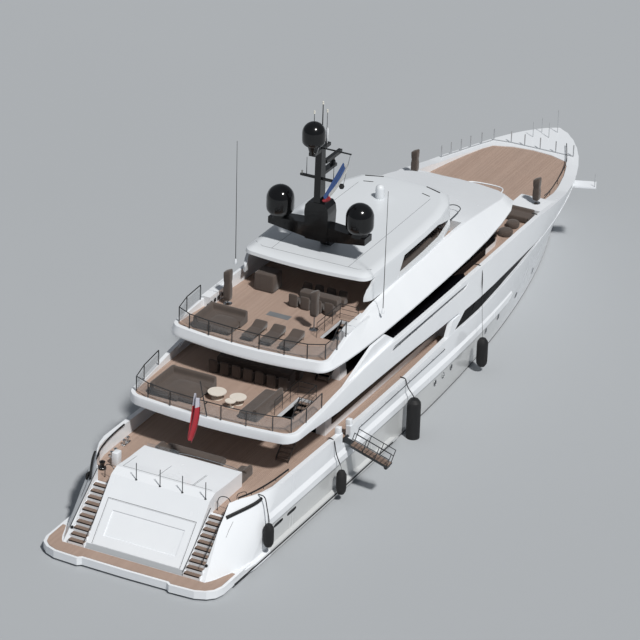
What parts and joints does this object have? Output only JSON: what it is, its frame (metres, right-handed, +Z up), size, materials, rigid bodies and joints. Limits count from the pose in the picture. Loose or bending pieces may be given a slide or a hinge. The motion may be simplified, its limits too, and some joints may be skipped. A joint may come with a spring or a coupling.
{
  "type": "motor yacht, 1:2 scale model",
  "caption": "Long white motor yacht with open stern terraces, teak decks, dark glass, black mast domes and fore deck, as a half-size model.",
  "frame": {"origin": "amidships on the centreline, at the waterline", "axes": "+X to starboard, +Y towards the bow, +Z up"},
  "size_m": [7.5247, 29.8062, 11.9177],
  "materials": {
    "white_gelcoat": "gloss white paint",
    "roof_paint": "satin light grey paint",
    "teak_deck": "weathered teak planks",
    "dark_glass": "dark tinted",
    "black_gloss": "gloss black",
    "stainless_steel": "polished",
    "propeller_bronze": "cast bronze",
    "taupe_cover": "woven outdoor cover",
    "cream_top": "satin cream",
    "black_rubber": "matt black"
  },
  "bodies": {
    "boat": {"hull": "white_gelcoat", "main_teak": "teak_deck", "main_house": "white_gelcoat", "upper_deck": "white_gelcoat", "upper_teak": "teak_deck", "fore_teak": "teak_deck", "upper_house": "white_gelcoat", "upper_glass": "dark_glass", "sun_deck": "white_gelcoat", "sun_teak": "teak_deck", "hardtop": "roof_paint", "mast": "black_gloss", "stern": "white_gelcoat", "foreship": "white_gelcoat", "bulwark_port": "white_gelcoat", "bulwark_stbd": "white_gelcoat", "upper_rail": "stainless_steel", "sun_rail": "stainless_steel", "bow_rail": "stainless_steel", "main_light": "dark_glass", "sky_light": "dark_glass", "main_sofa": "taupe_cover", "upper_sofa_port": "taupe_cover", "upper_sofa_stbd": "taupe_cover", "upper_table_port": "cream_top", "upper_table_stbd": "cream_top", "sun_sofa": "taupe_cover", "lounger_port": "taupe_cover", "lounger_mid": "taupe_cover", "lounger_stbd": "taupe_cover", "umbrella_sun_port": "taupe_cover", "umbrella_sun_stbd": "taupe_cover", "fender_aft": "black_rubber", "fender_mid_aft": "black_rubber", "fender_mid_fore": "black_rubber", "fender_fore": "black_rubber", "main_glass_port": "dark_glass", "hull_glass_port": "dark_glass", "umbrella_bow_port": "taupe_cover", "fore_sofa_port": "taupe_cover", "shaft_port": "stainless_steel", "main_glass_stbd": "dark_glass", "hull_glass_stbd": "dark_glass", "umbrella_bow_stbd": "taupe_cover", "fore_sofa_stbd": "taupe_cover", "shaft_stbd": "stainless_steel"},
    "transom_door": {"transom_door": "white_gelcoat"},
    "radar": {"radar": "black_gloss"},
    "gangway": {"gangway": "stainless_steel"},
    "bow_step": {"bow_step": "white_gelcoat"},
    "main_door_port": {"main_door_port": "dark_glass"},
    "sky_door_port": {"sky_door_port": "dark_glass"},
    "propeller_port": {"propeller_port": "propeller_bronze"},
    "rudder_port": {"rudder_port": "white_gelcoat"},
    "stabiliser_port": {"stabiliser_port": "white_gelcoat"},
    "main_door_stbd": {"main_door_stbd": "dark_glass"},
    "sky_door_stbd": {"sky_door_stbd": "dark_glass"},
    "propeller_stbd": {"propeller_stbd": "propeller_bronze"},
    "rudder_stbd": {"rudder_stbd": "white_gelcoat"},
    "stabiliser_stbd": {"stabiliser_stbd": "white_gelcoat"}
  },
  "joints": [
    {"name": "transom_door_lift", "type": "hinge", "parent": "boat", "child": "transom_door", "pos_m": [0, -13.37697, 1.45108], "axis": [-1, 0, 0], "range_deg": [0, 80]},
    {"name": "radar_turn", "type": "hinge", "parent": "boat", "child": "radar", "pos_m": [0, -2.625, 8.3], "axis": [0, 0, 1], "continuous": true},
    {"name": "gangway_lift", "type": "hinge", "parent": "boat", "child": "gangway", "pos_m": [2.87, -7.025, 1.61], "axis": [0, -1, 0], "range_deg": [-8, 40]},
    {"name": "bow_step_fold", "type": "hinge", "parent": "boat", "child": "bow_step", "pos_m": [1.83929, 11.82871, 2.325], "axis": [0.3709, -0.9287, 0], "range_deg": [0, 62]},
    {"name": "main_door_slide_port", "type": "slide", "parent": "boat", "child": "main_door_port", "axis": [-1, 0, 0], "range_m": [0, 0.6]},
    {"name": "sky_door_slide_port", "type": "slide", "parent": "boat", "child": "sky_door_port", "axis": [-1, 0, 0], "range_m": [0, 0.6]},
    {"name": "propeller_turn_port", "type": "hinge", "parent": "boat", "child": "propeller_port", "pos_m": [-1.25, -12.525, -1.2], "axis": [0, 1, 0], "continuous": true},
    {"name": "rudder_turn_port", "type": "hinge", "parent": "boat", "child": "rudder_port", "pos_m": [-1.25, -13.375, -1.05], "axis": [0, 0, 1], "range_deg": [-35, 35]},
    {"name": "stabiliser_turn_port", "type": "hinge", "parent": "boat", "child": "stabiliser_port", "pos_m": [-2.3, -1.375, -1.025], "axis": [-0.66, 0, -0.7513], "range_deg": [-20, 20]},
    {"name": "main_door_slide_stbd", "type": "slide", "parent": "boat", "child": "main_door_stbd", "axis": [1, 0, 0], "range_m": [0, 0.6]},
    {"name": "sky_door_slide_stbd", "type": "slide", "parent": "boat", "child": "sky_door_stbd", "axis": [1, 0, 0], "range_m": [0, 0.6]},
    {"name": "propeller_turn_stbd", "type": "hinge", "parent": "boat", "child": "propeller_stbd", "pos_m": [1.25, -12.525, -1.2], "axis": [0, 1, 0], "continuous": true},
    {"name": "rudder_turn_stbd", "type": "hinge", "parent": "boat", "child": "rudder_stbd", "pos_m": [1.25, -13.375, -1.05], "axis": [0, 0, 1], "range_deg": [-35, 35]},
    {"name": "stabiliser_turn_stbd", "type": "hinge", "parent": "boat", "child": "stabiliser_stbd", "pos_m": [2.3, -1.375, -1.025], "axis": [0.66, 0, -0.7513], "range_deg": [-20, 20]}
  ]
}
